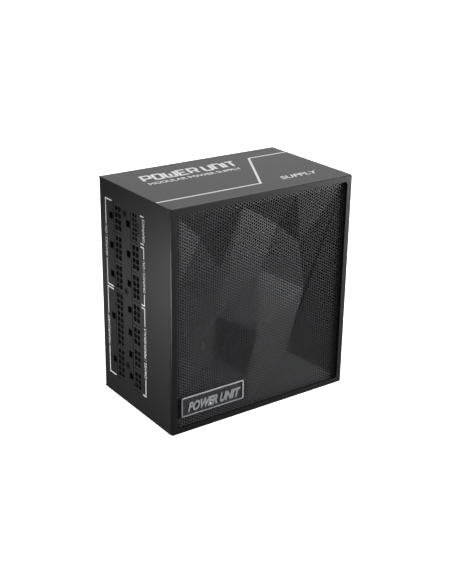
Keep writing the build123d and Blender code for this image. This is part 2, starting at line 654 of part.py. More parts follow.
with BuildPart() as powerTransistors:
    for x in (15.0, 27.5):
        block(x, x + 10.5, packageTop, 27.0, sinkZ - 6.0, sinkZ - plateHalf)
        for i in range(3):
            leg = x + 1.2 + i * 3.6
            block(leg, leg + legThick, 27.0, boardFront, sinkZ - 4.2, sinkZ - 4.2 + legThick)
keep(powerTransistors, "power_transistors")

bulkRadius, bulkTall = 14.5, 42.0
bulkAt = [(46.5, 22.0), (46.5, 53.0)]
with BuildPart() as bulkCaps:
    for x, z in bulkAt:
        standRound(x, z, bulkRadius, bulkTall)
    fillet(bulkCaps.faces().group_by(Axis.Y)[0].edges(), 1.4)
    grooveTop, grooveBottom = boardFront - 5.0, boardFront - 3.8
    for x, z in bulkAt:
        drumY(x, z, bulkRadius + 1, grooveTop, grooveBottom, Mode.SUBTRACT)
        drumY(x, z, bulkRadius - 0.7, grooveTop, grooveBottom)
keep(bulkCaps, "bulk_capacitors")


def ferriteCore(x, z, width, height, tall, leg):
    stand(x, z, width, height, tall)
    block(x - width / 2 + leg, x + width / 2 - leg, boardFront - tall + leg, boardFront - leg,
          z - height, z + height, Mode.SUBTRACT)
    drumY(x, z, leg * 0.9, boardFront - tall + 1, boardFront - 1)


def winding(x, z, outer, bore, top, bottom):
    drumY(x, z, outer, boardFront - top, boardFront - bottom)
    drumY(x, z, bore, boardFront - top - 1, boardFront - bottom + 1, Mode.SUBTRACT)


boostX, boostZ = 16.5, 52.0
with BuildPart() as boostCore:
    ferriteCore(boostX, boostZ, width=29.0, height=22.0, tall=30.0, leg=5.0)
keep(boostCore, "boost_choke_core")

with BuildPart() as boostWinding:
    winding(boostX, boostZ, outer=9.3, bore=4.6, top=24.5, bottom=5.5)
keep(boostWinding, "boost_choke_winding")

transformerX, transformerZ = -16.0, 66.0
with BuildPart() as transformerCore:
    ferriteCore(transformerX, transformerZ, width=32.0, height=26.0, tall=34.0, leg=6.0)
keep(transformerCore, "transformer_core")

with BuildPart() as transformerWinding:
    winding(transformerX, transformerZ, outer=9.8, bore=5.5, top=27.5, bottom=6.5)
keep(transformerWinding, "transformer_winding")

with BuildPart() as resonantChoke:
    stand(x=-15.0, z=98.0, width=24.0, height=20.0, tall=24.0)
    fillet(resonantChoke.edges().filter_by(Axis.Y), 2.0)
keep(resonantChoke, "resonant_choke")

with BuildPart() as standbyTransformer:
    stand(x=16.5, z=25.5, width=18.0, height=17.0, tall=19.0)
    fillet(standbyTransformer.edges().filter_by(Axis.Y), 1.0)
keep(standbyTransformer, "standby_transformer")

outputTop = -4.0
with BuildPart() as outputSink:
    block(-35.0, -33.0, outputTop, boardFront, 40.0, 104.0)
    for i in range(8):
        z = 41.0 + i * 8.6
        block(-39.0, -35.0, outputTop, 12.0, z, z + 1.6)
keep(outputSink, "output_heatsink")

outputCaps = [(x, z) for x in (-40.0, -28.5) for z in (14.0, 26.0, 116.0, 128.0)]
with BuildPart() as smoothing:
    for x, z in outputCaps:
        standRound(x, z, radius=5.0, tall=21.0)
    fillet(smoothing.faces().group_by(Axis.Y)[0].edges(), 0.8)
keep(smoothing, "output_capacitors")

# small boards standing on edge: one for control, two with the output converters
with BuildPart() as risers:
    block(-16.0, -14.4, boardFront - 26.0, boardFront, 112.0, 140.0)
    for i in range(3):
        chipFront = boardFront - 22.0 + i * 7
        block(-18.2, -16.0, chipFront, chipFront + 4.0, 118.0, 132.0)
    for z in (50.0, 86.0):
        block(-46.6, -45.0, boardFront - 30.0, boardFront, z - 14.0, z + 14.0)
        for z0 in (z - 8.0, z + 4.0):
            block(-45.0, -41.5, boardFront - 24.0, boardFront - 15.0, z0, z0 + 8.0)
keep(risers, "riser_boards")

barHalf, barThick, barLong = 4.0, 1.2, 18.0
with BuildPart() as busBars:
    for z in (38.0, 66.0, 94.0, 107.0):
        block(boardX1, boardX1 + barThick, modularY1 - barLong, boardFront, z - barHalf, z + barHalf)
keep(busBars, "bus_bars")


# ---- leads held inside the case: straight runs joined by large arcs ----
def lead(points, radii, radius):
    with BuildLine() as path:
        FilletPolyline(*points, radius=radii)
    start = Vector(*points[0])
    with BuildSketch(Plane(origin=start, z_dir=Vector(*points[1]) - start)) as section:
        Circle(radius)
    sweep(sections=section.sketch, path=path.line)


inletEnd = panelOut - inletDeep - inletTail
leadRadius = 1.2
with BuildPart() as mainsLeads:
    for i, (y, z) in enumerate(bladeAt[:2]):
        turn = inletEnd - 6.5 + 3.5 * i
        lead([(inletEnd, y, z), (turn, y, z), (turn, boardFront, z)], [0.45 * (inletEnd - turn)], leadRadius)
keep(mainsLeads, "mains_leads")
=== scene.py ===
import json
import bmesh
import bpy
from math import cos, pi, radians, sin, sqrt
from mathutils import Matrix, Vector


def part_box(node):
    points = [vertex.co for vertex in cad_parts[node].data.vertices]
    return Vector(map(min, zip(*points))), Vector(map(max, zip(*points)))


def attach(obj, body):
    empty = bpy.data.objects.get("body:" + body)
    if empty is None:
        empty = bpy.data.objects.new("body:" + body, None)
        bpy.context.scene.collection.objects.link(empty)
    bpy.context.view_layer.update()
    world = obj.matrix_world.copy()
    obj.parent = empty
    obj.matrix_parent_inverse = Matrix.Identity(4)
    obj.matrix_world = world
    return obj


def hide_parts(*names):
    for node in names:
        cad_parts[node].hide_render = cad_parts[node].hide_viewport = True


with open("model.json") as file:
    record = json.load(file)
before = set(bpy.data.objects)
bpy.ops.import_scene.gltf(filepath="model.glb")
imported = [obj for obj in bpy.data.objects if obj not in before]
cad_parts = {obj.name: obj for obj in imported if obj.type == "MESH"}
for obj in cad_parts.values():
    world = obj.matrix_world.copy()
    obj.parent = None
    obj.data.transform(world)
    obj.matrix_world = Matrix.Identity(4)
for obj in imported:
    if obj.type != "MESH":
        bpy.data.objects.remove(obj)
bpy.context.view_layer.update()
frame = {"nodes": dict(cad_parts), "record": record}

mm = 0.001
caseLow, caseHigh = (Vector(c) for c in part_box("cover_shell"))
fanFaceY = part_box("front_bezel")[0][1]
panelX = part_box("base_shell")[0][0]
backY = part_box("base_shell")[1][1]
inkThick = 0.03 * mm          # printed ink stands this far off the coat
sameSpot = 1e-6               # millimetres: a line that ends this near its start is a loop
weldWithin = 1e-7             # metres: points this near each other are one


# helpers for node trees, finishes and pieces
def linear(hexColour, alpha=1.0):
    channels = [int(hexColour[i:i + 2], 16) / 255 for i in (1, 3, 5)]
    return tuple(c / 12.92 if c <= 0.04045 else ((c + 0.055) / 1.055) ** 2.4 for c in channels) + (alpha,)


def addNode(tree, kind, settings=None, values=None, links=None):
    node = tree.nodes.new(kind)
    for name, value in (settings or {}).items():
        setattr(node, name, value)
    for name, value in (values or {}).items():
        node.inputs[name].default_value = value
    for name, source in (links or {}).items():
        tree.links.new(source, node.inputs[name])
    return node


def startMaterial(name, colour, roughness, metallic=0.0, ior=1.5):
    material = bpy.data.materials.new(name)
    material.use_nodes = True
    shader = material.node_tree.nodes["Principled BSDF"]
    shader.inputs["Base Color"].default_value = linear(colour)
    shader.inputs["Roughness"].default_value = roughness
    shader.inputs["Metallic"].default_value = metallic
    if metallic < 0.5:
        shader.inputs["IOR"].default_value = ior
    return material, material.node_tree, shader


def grain(tree, shader, grainMm, depthMm, strength, detail=2.0):
    place = addNode(tree, "ShaderNodeTexCoord")
    noise = addNode(tree, "ShaderNodeTexNoise", values={"Scale": 1 / (grainMm * mm), "Detail": detail},
                    links={"Vector": place.outputs["Object"]})
    bump = addNode(tree, "ShaderNodeBump", values={"Strength": strength, "Distance": depthMm * mm},
                   links={"Height": noise.outputs["Fac"]})
    tree.links.new(bump.outputs["Normal"], shader.inputs["Normal"])
    return noise


def mottle(tree, shader, darkHex, lightHex, patchMm, low=0.35, high=0.65):
    place = addNode(tree, "ShaderNodeTexCoord")
    noise = addNode(tree, "ShaderNodeTexNoise", values={"Scale": 1 / (patchMm * mm), "Detail": 3.0},
                    links={"Vector": place.outputs["Object"]})
    ramp = addNode(tree, "ShaderNodeValToRGB", links={"Fac": noise.outputs["Fac"]})
    ramp.color_ramp.elements[0].position = low
    ramp.color_ramp.elements[0].color = linear(darkHex)
    ramp.color_ramp.elements[1].position = high
    ramp.color_ramp.elements[1].color = linear(lightHex)
    tree.links.new(ramp.outputs["Color"], shader.inputs["Base Color"])


def paint(node, material):
    mesh = frame["nodes"][node].data
    mesh.materials.clear()
    mesh.materials.append(material)


def newPiece(name, mesh, material):
    mesh.materials.clear()
    mesh.materials.append(material)
    piece = bpy.data.objects.new(name, mesh)
    bpy.context.collection.objects.link(piece)
    return piece


def settle(piece, slotName, *replaced, body="case"):
    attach(piece, body)
    if replaced:
        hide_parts(*replaced)


# camera, floor and lights
cameraSet = {"place": (-382.6, -537.8, 336.7), "turn": (67.893, -0.757, -35.174), "lens": 65.08,
             "sensor": 36, "nearest": 0.01}
cameraData = bpy.data.cameras.new("camera")
cameraData.lens = cameraSet["lens"]
cameraData.sensor_width = cameraSet["sensor"]
cameraData.clip_start = cameraSet["nearest"]
camera = bpy.data.objects.new("camera", cameraData)
camera.location = [v * mm for v in cameraSet["place"]]
camera.rotation_euler = [radians(v) for v in cameraSet["turn"]]
bpy.context.collection.objects.link(camera)
bpy.context.scene.camera = camera
bpy.context.scene.view_settings.view_transform = "Standard"

stageSet = {"floorHalf": 3.0, "seenHex": "#fbfbfb", "bounceHex": "#383838", "roomHex": "#ffffff",
            "roomStrength": 0.03, "glow": 0.9}
floorMesh = bpy.data.meshes.new("floor")
reach = stageSet["floorHalf"]
floorCorners = [(-reach, -reach, 0), (reach, -reach, 0), (reach, reach, 0), (-reach, reach, 0)]
floorMesh.from_pydata(floorCorners, [], [(0, 1, 2, 3)])
floorPaint, floorTree, floorShader = startMaterial("matte studio floor", stageSet["bounceHex"], 0.9)
# the paper looks white, but throws back less light, as with black flags round the set
paper = addNode(floorTree, "ShaderNodeBsdfDiffuse", values={"Color": linear(stageSet["seenHex"])})
glow = addNode(floorTree, "ShaderNodeEmission", values={"Strength": stageSet["glow"]})
white = addNode(floorTree, "ShaderNodeAddShader", links={0: paper.outputs[0], 1: glow.outputs[0]})
ray = addNode(floorTree, "ShaderNodeLightPath")
swap = addNode(floorTree, "ShaderNodeMixShader", links={0: ray.outputs["Is Camera Ray"],
                                                        1: floorShader.outputs[0], 2: white.outputs[0]})
floorTree.links.new(swap.outputs[0], floorTree.nodes["Material Output"].inputs["Surface"])
floor = newPiece("floor", floorMesh, floorPaint)

world = bpy.data.worlds.new("studio")
bpy.context.scene.world = world
world.use_nodes = True
room = world.node_tree
backdrop = room.nodes["Background"]
backdrop.inputs["Color"].default_value = linear(stageSet["roomHex"])
backdrop.inputs["Strength"].default_value = stageSet["roomStrength"]
seen = addNode(room, "ShaderNodeBackground", values={"Color": (1, 1, 1, 1), "Strength": 1.0})
ray = addNode(room, "ShaderNodeLightPath")
swap = addNode(room, "ShaderNodeMixShader", links={0: ray.outputs["Is Camera Ray"],
                                                   1: backdrop.outputs[0], 2: seen.outputs[0]})
room.links.new(swap.outputs[0], room.nodes["World Output"].inputs["Surface"])

# name: place, aim, width, height (all metres), watts
lightSet = {
    "overhead": ((0.0, 0.0, 2.0), (0, 0, 0.1), 3.0, 3.0, 46.0),
    "back": ((0.75, 1.1, 0.62), (0, 0, 0.15), 1.0, 0.7, 2.5),
    "key_right": ((0.98, -0.29, 0.02), (0, 0, 0.08), 0.28, 0.28, 75.0),
    "low_left": ((-0.26, -0.03, 0.012), (-0.07, -0.01, 0.015), 0.50, 0.02, 0.62),
}
for name, (place, aim, width, height, watts) in lightSet.items():
    lamp = bpy.data.lights.new(name, "AREA")
    lamp.shape = "RECTANGLE"
    lamp.size = width
    lamp.size_y = height
    lamp.energy = watts
    holder = bpy.data.objects.new(name, lamp)
    holder.location = place
    holder.rotation_euler = (Vector(aim) - Vector(place)).to_track_quat("-Z", "Y").to_euler()
    holder.visible_camera = False
    bpy.context.collection.objects.link(holder)
print("stage: camera, floor and", len(lightSet), "lights")


# finishes, one function for each of the main ones
def powderCoat():
    # fine black powder coat baked on steel: satin, with a very fine orange peel
    material, tree, shader = startMaterial("black powder coat", "#1a1a1a", 0.42)
    noise = grain(tree, shader, 0.45, 0.02, 0.35)
    rough = addNode(tree, "ShaderNodeMapRange", values={"To Min": 0.38, "To Max": 0.47},
                    links={"Value": noise.outputs["Fac"]})
    tree.links.new(rough.outputs["Result"], shader.inputs["Roughness"])
    return material


def bezelWithPaintedShade():
    # the same smooth black as the case, a little glossier; its colour is made darker than the case's as
    # painted shade, for the darker side of the set it faces
    material, tree, shader = startMaterial("satin black paint darkened as painted shade", "#0a0a0b", 0.34)
    grain(tree, shader, 0.8, 0.01, 0.2)
    return material


def coatedMesh():
    # electro-coated steel mesh: thin dark coat over metal, soft metallic sheen
    material, tree, shader = startMaterial("coated steel mesh", "#39393b", 0.40, metallic=0.4)
    grain(tree, shader, 0.5, 0.01, 0.2)
    return material


def blackNylon():
    # glass filled nylon, moulded: dull with a soft gloss
    material, tree, shader = startMaterial("moulded black nylon", "#1d1d1e", 0.5, ior=1.53)
    grain(tree, shader, 0.35, 0.015, 0.3)
    return material


def whiteInk():
    # screen printed white ink, flat and opaque
    material, tree, shader = startMaterial("white screen print", "#f2f2f2", 0.55)
    mottle(tree, shader, "#ececec", "#f6f6f6", 2.0)
    return material


def plainFinish(name, colour, roughness, metallic=0.0, grainMm=0.5, depthMm=0.01, ior=1.5, dark=None):
    material, tree, shader = startMaterial(name, colour, roughness, metallic, ior)
    grain(tree, shader, grainMm, depthMm, 0.3)
    if dark:
        mottle(tree, shader, dark, colour, 4.0)
    return material


caseCoat, bezelCoatPaintedShade, meshCoat = powderCoat(), bezelWithPaintedShade(), coatedMesh()
nylon, ink = blackNylon(), whiteInk()
finishes = {
    # moulded, satin with a soft edge highlight
    "fan": plainFinish("moulded black PBT", "#17181a", 0.38, grainMm=0.3),
    # pressed powder in resin, dull and brownish
    "magnet": plainFinish("bonded ferrite ring", "#2b2a28", 0.6, dark="#232220"),
    # turned bright after anodising
    "cutEdge": plainFinish("diamond cut aluminium", "#cfd0d3", 0.35, 0.6, grainMm=0.3, dark="#bcbdc0"),
    # painted letters, softer than bare metal
    "raised": plainFinish("satin silver letters", "#9a9b9f", 0.4, 0.35, grainMm=0.3, dark="#8b8c90"),
    "paper": plainFinish("matt label stock", "#d6d6d3", 0.6, dark="#cdcdca"),  # printed paper, flat
    "labelInk": plainFinish("black label ink", "#1a1a1a", 0.5, dark="#232323"),  # thermal print, flat
    # ground, bright and fine lined
    "steel": plainFinish("ground steel", "#b8b8ba", 0.25, 1.0, grainMm=0.1, dark="#a2a2a4"),
    # porous, so warm and dull
    "bronze": plainFinish("sintered bronze", "#a5793c", 0.45, 1.0, dark="#8a6430"),
    # lacquered wire, its turns drawn as a coarse grain because single ones are too fine to show
    "copper": plainFinish("enamelled copper wire", "#c0642c", 0.3, 1.0, grainMm=0.6, depthMm=0.1,
                          dark="#9c4a1c"),
    # oxide grey edges
    "lamination": plainFinish("stamped silicon steel", "#77777a", 0.4, 1.0, dark="#5f5f62"),
    # lacquer over woven glass, near black with a green cast
    "board": plainFinish("black solder mask on glass laminate", "#12211a", 0.35, grainMm=1.2, dark="#0d1813"),
    "film": plainFinish("black polypropylene film", "#1a1a1a", 0.5),  # rolled sheet, low gloss
    # passivated, near black metal
    "blackZinc": plainFinish("black zinc plate", "#2a2a2c", 0.38, 0.8, dark="#1f1f21"),
    "nickel": plainFinish("nickel plate", "#bdb9ae", 0.28, 1.0, dark="#a8a499"),  # plated, warm bright metal
    # plated contacts, pale yellow
    "gold": plainFinish("tin over brass contact", "#c9b27a", 0.3, 1.0, dark="#b59c62"),
    # as extruded, soft bright metal
    "extrusion": plainFinish("mill finish aluminium", "#c3c4c6", 0.35, 1.0, grainMm=0.25, dark="#acadb0"),
    # sintered and ground, dark stone
    "ferrite": plainFinish("ground ferrite", "#353536", 0.55, dark="#2a2a2b"),
    "tape": plainFinish("black polyester tape", "#23211d", 0.3, dark="#1b1a17"),  # wound film, glossy black
    "sleeve": plainFinish("black shrink sleeve", "#15181f", 0.25),  # shrunk tight, glossy
    "can": plainFinish("aluminium can", "#c8c8ca", 0.3, 1.0, dark="#b5b5b8"),  # drawn, bright
    # moulded box, smooth
    "filmCap": plainFinish("moulded grey film capacitor", "#55565a", 0.35, dark="#4a4b4f"),
    "disc": plainFinish("dipped blue ceramic", "#23549a", 0.3),  # dipped lacquer, glossy
    "discGreen": plainFinish("dipped green ceramic", "#2c5a34", 0.35),  # dipped lacquer
    "fuse": plainFinish("white ceramic tube", "#dcdad2", 0.3),  # fired, smooth white
    "epoxy": plainFinish("moulded epoxy", "#1b1b1c", 0.45),  # moulded, fine matt
    # moulded, glossier than nylon
    "inlet": plainFinish("moulded black thermoplastic", "#151516", 0.32, grainMm=0.4),
    "wire": plainFinish("brown PVC insulation", "#6a3a22", 0.4),  # extruded, smooth
}
nodeFinish = {
    "fan": ["fan_frame", "fan_rotor"], "magnet": ["rotor_magnet"], "steel": ["fan_shaft"],
    "bronze": ["fan_bearing"],
    "copper": ["fan_coils", "line_filter_chokes", "boost_choke_winding", "bus_bars"],
    "lamination": ["fan_stator"], "board": ["fan_board", "modular_board", "main_board", "riser_boards"],
    "film": ["insulation_sheet"], "blackZinc": ["fan_screws", "case_screws"],
    "nickel": ["panel_spacers", "mains_blades", "board_standoffs", "board_screws"],
    "gold": ["socket_pins"], "extrusion": ["input_heatsink", "output_heatsink"],
    "ferrite": ["boost_choke_core", "transformer_core"],
    "tape": ["transformer_winding", "resonant_choke", "standby_transformer"], "sleeve": ["bulk_capacitors"],
    "can": ["output_capacitors"], "filmCap": ["x_capacitors"], "disc": ["y_capacitors"],
    "discGreen": ["inrush_thermistor"], "fuse": ["mains_fuse"],
    "epoxy": ["bridge_rectifier", "power_transistors", "inrush_relay"],
    "inlet": ["ac_inlet", "switch_housing", "switch_rocker"], "wire": ["mains_leads"],
}
for finish, nodes in nodeFinish.items():
    for node in nodes:
        paint(node, finishes[finish])
for node in frame["nodes"]:
    if node.startswith("socket_") and node != "socket_pins":
        paint(node, nylon)
for node in ("base_shell", "cover_shell", "rear_panel"):
    paint(node, caseCoat)
# the bezel's darker colour is painted shade, not a darker paint
paint("front_bezel", bezelCoatPaintedShade)
paint("badge_plate", plainFinish("dark anodised aluminium", "#38383b", 0.4, 0.5, dark="#313134"))
print("finishes on", len(frame["nodes"]), "parts")

# the perforated grille: one holed cell repeated, then pressed onto the facets
meshSet = {"pitch": 2.0, "hole": 1.46, "holeSides": 12, "thick": 0.8, "edge": 2.9, "lip": 2, "weld": 0.02,
           "rayStart": (0, -0.2, 0), "rayLength": 1.0}     # the ray's own lengths are in metres


def perforationCell():
    # one hexagon of sheet with a round hole, flat sides up and down
    made = bmesh.new()
    outerRadius = meshSet["pitch"] / sqrt(3) * mm
    sides = meshSet["holeSides"]
    outer = [made.verts.new((outerRadius * cos(i * pi / 3), 0, outerRadius * sin(i * pi / 3)))
             for i in range(6)]
    holeRadius = meshSet["hole"] / 2 * mm
    inner = [made.verts.new((holeRadius * cos(i * 2 * pi / sides), 0, holeRadius * sin(i * 2 * pi / sides)))
             for i in range(sides)]
    step = sides // 6
    for i in range(6):
        ring = [inner[(i * step + k) % sides] for k in range(step + 1)]
        made.faces.new([outer[i], outer[(i + 1) % 6]] + ring[::-1])
    mesh = bpy.data.meshes.new("perforation cell")
    made.to_mesh(mesh)
    made.free()
    return bpy.data.objects.new("perforation cell", mesh)


def perforationTree(cellObject, target, coat):
    tree = bpy.data.node_groups.new("perforated sheet", "GeometryNodeTree")
    inputs = {}
    for label, kind in (("Geometry", "NodeSocketGeometry"), ("Column Step", "NodeSocketFloat"),
                        ("Row Step", "NodeSocketFloat"), ("Columns", "NodeSocketInt"),
                        ("Rows", "NodeSocketInt"), ("Low Edge", "NodeSocketFloat")):
        inputs[label] = tree.interface.new_socket(label, in_out="INPUT", socket_type=kind).identifier
    tree.interface.new_socket("Geometry", in_out="OUTPUT", socket_type="NodeSocketGeometry")
    given = addNode(tree, "NodeGroupInput").outputs
    result = addNode(tree, "NodeGroupOutput")
    total = addNode(tree, "ShaderNodeMath", {"operation": "MULTIPLY"},
                    links={0: given["Columns"], 1: given["Rows"]})
    spots = addNode(tree, "GeometryNodePoints", links={"Count": total.outputs[0]})
    index = addNode(tree, "GeometryNodeInputIndex")
    column = addNode(tree, "ShaderNodeMath", {"operation": "DIVIDE"},
                     links={0: index.outputs[0], 1: given["Rows"]})
    column = addNode(tree, "ShaderNodeMath", {"operation": "FLOOR"}, links={0: column.outputs[0]})
    row = addNode(tree, "ShaderNodeMath", {"operation": "MODULO"},
                  links={0: index.outputs[0], 1: given["Rows"]})
    odd = addNode(tree, "ShaderNodeMath", {"operation": "MODULO"}, {1: 2.0}, {0: column.outputs[0]})
    lift = addNode(tree, "ShaderNodeMath", {"operation": "MULTIPLY_ADD"}, {1: 0.5},
                   {0: odd.outputs[0], 2: row.outputs[0]})
    half = addNode(tree, "ShaderNodeMath", {"operation": "SUBTRACT"}, {1: 1.0}, {0: given["Columns"]})
    half = addNode(tree, "ShaderNodeMath", {"operation": "MULTIPLY"}, {1: -0.5}, {0: half.outputs[0]})
    across = addNode(tree, "ShaderNodeMath", {"operation": "ADD"},
                     links={0: column.outputs[0], 1: half.outputs[0]})
    across = addNode(tree, "ShaderNodeMath", {"operation": "MULTIPLY"},
                     links={0: across.outputs[0], 1: given["Column Step"]})
    upward = addNode(tree, "ShaderNodeMath", {"operation": "MULTIPLY_ADD"},
                     links={0: lift.outputs[0], 1: given["Row Step"], 2: given["Low Edge"]})
    spot = addNode(tree, "ShaderNodeCombineXYZ", links={"X": across.outputs[0], "Z": upward.outputs[0]})
    placed = addNode(tree, "GeometryNodeSetPosition",
                     links={"Geometry": spots.outputs[0], "Position": spot.outputs[0]})
    cell = addNode(tree, "GeometryNodeObjectInfo", values={"Object": cellObject})
    copies = addNode(tree, "GeometryNodeInstanceOnPoints",
                     links={"Points": placed.outputs[0], "Instance": cell.outputs["Geometry"]})
    real = addNode(tree, "GeometryNodeRealizeInstances", links={"Geometry": copies.outputs[0]})
    joined = addNode(tree, "GeometryNodeMergeByDistance", values={"Distance": meshSet["weld"] * mm},
                     links={"Geometry": real.outputs[0]})
    # every point moves back until it meets the facets of the pressed sheet
    facets = addNode(tree, "GeometryNodeObjectInfo", values={"Object": target})
    position = addNode(tree, "GeometryNodeInputPosition")
    start = addNode(tree, "ShaderNodeVectorMath", {"operation": "ADD"},
                    {1: meshSet["rayStart"]}, {0: position.outputs[0]})
    hit = addNode(tree, "GeometryNodeRaycast",
                  values={"Ray Direction": (0, 1, 0), "Ray Length": meshSet["rayLength"]},
                  links={"Target Geometry": facets.outputs["Geometry"], "Source Position": start.outputs[0]})
    pressed = addNode(tree, "GeometryNodeSetPosition",
                      links={"Geometry": joined.outputs[0], "Selection": hit.outputs["Is Hit"],
                             "Position": hit.outputs["Hit Position"]})
    coated = addNode(tree, "GeometryNodeSetMaterial", values={"Material": coat},
                     links={"Geometry": pressed.outputs[0]})
    tree.links.new(coated.outputs[0], result.inputs[0])
    return tree, inputs


def bakedMesh(carrier, name):
    bpy.context.view_layer.update()
    evaluated = carrier.evaluated_get(bpy.context.evaluated_depsgraph_get())
    mesh = bpy.data.meshes.new_from_object(evaluated)
    mesh.name = name
    return mesh


def perforatedGrille():
    cell = perforationCell()
    bpy.context.collection.objects.link(cell)
    tree, inputs = perforationTree(cell, frame["nodes"]["front_grille"], meshCoat)
    step, rowStep = meshSet["pitch"] * sqrt(3) / 2 * mm, meshSet["pitch"] * mm
    low, high = (Vector(c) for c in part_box("front_grille"))
    margin = meshSet["edge"] * mm - meshSet["lip"] * mm
    columns = 2 * int((high.x - margin) / step) + 1
    rowsAll = int((high.z - low.z - 2 * margin) / rowStep)
    lowEdge = (low.z + high.z) / 2 - (rowsAll - 0.5) / 2 * rowStep
    rowsLow = rowsAll // 2
    halves = []
    for name, rows, edge in (("grille_lower", rowsLow, lowEdge),
                             ("grille_upper", rowsAll - rowsLow, lowEdge + rowsLow * rowStep)):
        carrier = bpy.data.objects.new(name + " carrier", bpy.data.meshes.new(name + " carrier"))
        bpy.context.collection.objects.link(carrier)
        sheetMaker = carrier.modifiers.new("perforate", "NODES")
        sheetMaker.node_group = tree
        for label, value in (("Column Step", step), ("Row Step", rowStep), ("Columns", columns),
                             ("Rows", rows), ("Low Edge", edge)):
            sheetMaker[inputs[label]] = value
        wall = carrier.modifiers.new("thickness", "SOLIDIFY")
        wall.thickness = meshSet["thick"] * mm
        wall.offset = -1
        mesh = bakedMesh(carrier, name)
        bpy.data.objects.remove(carrier)
        halves.append(newPiece(name, mesh, meshCoat))
        depths = [v.co.y - fanFaceY for v in mesh.vertices]
        print("  ", name, len(mesh.polygons), "faces, depth",
              round(min(depths) / mm, 2), round(max(depths) / mm, 2))
    bpy.data.objects.remove(cell)
    for half in halves:
        settle(half, "grille", "front_grille")


perforatedGrille()
print("perforated grille done")

# flat things on the outer faces: each face has a corner and two axes along it, whose cross product points out
faces = {
    "top": (Vector((caseLow.x, fanFaceY, caseHigh.z)), Vector((1, 0, 0)), Vector((0, 1, 0))),
    "panel": (Vector((panelX, backY, caseLow.z)), Vector((0, -1, 0)), Vector((0, 0, 1))),
    "fan": (Vector((caseLow.x, fanFaceY, caseLow.z)), Vector((1, 0, 0)), Vector((0, 0, 1))),
    "back": (Vector((caseHigh.x, backY, caseLow.z)), Vector((-1, 0, 0)), Vector((0, 0, 1))),
}


def facePoint(face, u, v, lift):
    corner, across, up = faces[face]
    return corner + (across * u + up * v + across.cross(up) * lift) * mm


def flatPrism(made, face, outline, lift, thick):
    # closed prism on a face, from an outline in millimetres running anticlockwise
    bottom = [made.verts.new(facePoint(face, u, v, lift)) for u, v in outline]
    top = [made.verts.new(facePoint(face, u, v, lift + thick)) for u, v in outline]
    made.faces.new(bottom[::-1])
    made.faces.new(top)
    for i in range(len(outline)):
        j = (i + 1) % len(outline)
        made.faces.new((bottom[i], bottom[j], top[j], top[i]))


def stripe(made, face, points, width, lift, thick):
    # one closed strip of even width through the points, with mitred corners; a loop has no ends
    points = [Vector(p) for p in points]
    loop = (points[0] - points[-1]).length < sameSpot
    if loop:
        points.pop()
    aims = [(b - a).normalized() for a, b in zip(points, points[1:] + points[:1] * loop)]
    sections = []
    for i, point in enumerate(points):
        before, after = aims[i - 1 if loop else max(i - 1, 0)], aims[min(i, len(aims) - 1)]
        normal = Vector((-(before + after).y, (before + after).x)).normalized()
        reach = width / 2 / normal.dot(Vector((-after.y, after.x)))
        corners = ((-reach, lift), (reach, lift), (reach, lift + thick), (-reach, lift + thick))
        sections.append([made.verts.new(facePoint(face, *(point + normal * side), height))
                         for side, height in corners])
    for a, b in zip(sections, sections[1:] + sections[:1] * loop):
        for i in range(4):
            made.faces.new((a[i], a[i - 1], b[i - 1], b[i]))
    if not loop:
        made.faces.new(sections[0])
        made.faces.new(sections[-1][::-1])


def lettering(made, face, words, box, lift, thick, turned=False, slant=0.0, weight=0.02):
    # the words fill the box (low u, low v, high u, high v); turned ones read upwards
    text = bpy.data.curves.new(words, "FONT")
    text.body = words
    text.extrude = 0.5
    text.shear = slant
    text.resolution_u = 6
    text.offset = weight
    carrier = bpy.data.objects.new(words, text)
    bpy.context.collection.objects.link(carrier)
    mesh = bakedMesh(carrier, words)
    bpy.data.objects.remove(carrier)
    lowX, highX = min(v.co.x for v in mesh.vertices), max(v.co.x for v in mesh.vertices)
    lowY, highY = min(v.co.y for v in mesh.vertices), max(v.co.y for v in mesh.vertices)
    for vertex in mesh.vertices:
        along = (vertex.co.x - lowX) / (highX - lowX)
        rise = (vertex.co.y - lowY) / (highY - lowY)
        if turned:
            u, v = box[2] - rise * (box[2] - box[0]), box[1] + along * (box[3] - box[1])
        else:
            u, v = box[0] + along * (box[2] - box[0]), box[1] + rise * (box[3] - box[1])
        vertex.co = facePoint(face, u, v, lift + (vertex.co.z + 0.5) * thick)
    made.from_mesh(mesh)


def closedPiece(made, name, material, slotName=None, body="case"):
    bmesh.ops.remove_doubles(made, verts=made.verts, dist=weldWithin)
    bmesh.ops.recalc_face_normals(made, faces=made.faces)
    mesh = bpy.data.meshes.new(name)
    made.to_mesh(mesh)
    made.free()
    settle(newPiece(name, mesh, material), slotName, body=body)


# square letters, each one or two strokes on a grid 4 wide (W is 5) and 6 high
letterHigh, letterGap = 6, 1.7
strokes = {
    "P": [[(0, 0), (0, 6), (3.4, 6), (4, 5.4), (4, 3), (3.4, 2.4), (0.5, 2.4)]],
    "O": [[(2, 0), (0.6, 0), (0, 0.6), (0, 5.4), (0.6, 6), (3.4, 6), (4, 5.4), (4, 0.6), (3.4, 0), (2, 0)]],
    "W": [[(0, 6), (0, 0.6), (0.6, 0), (4.4, 0), (5, 0.6), (5, 6)], [(2.5, 0), (2.5, 4)]],
    "E": [[(4, 0), (0, 0), (0, 6), (4, 6)], [(0.5, 3), (3.4, 3)]],
    "R": [[(0, 0), (0, 6), (3.4, 6), (4, 5.4), (4, 3.2), (3.4, 2.6), (0.5, 2.6)], [(2.4, 2.4), (4, 0)]],
    "U": [[(0, 6), (0, 0.6), (0.6, 0), (3.4, 0), (4, 0.6), (4, 6)]],
    "N": [[(0, 0), (0, 6), (2.8, 6), (4, 4.8), (4, 0)]],
    "I": [[(0, 0), (0, 6)]],
    "T": [[(0, 6), (4, 6)], [(2, 5.5), (2, 0)]],
}


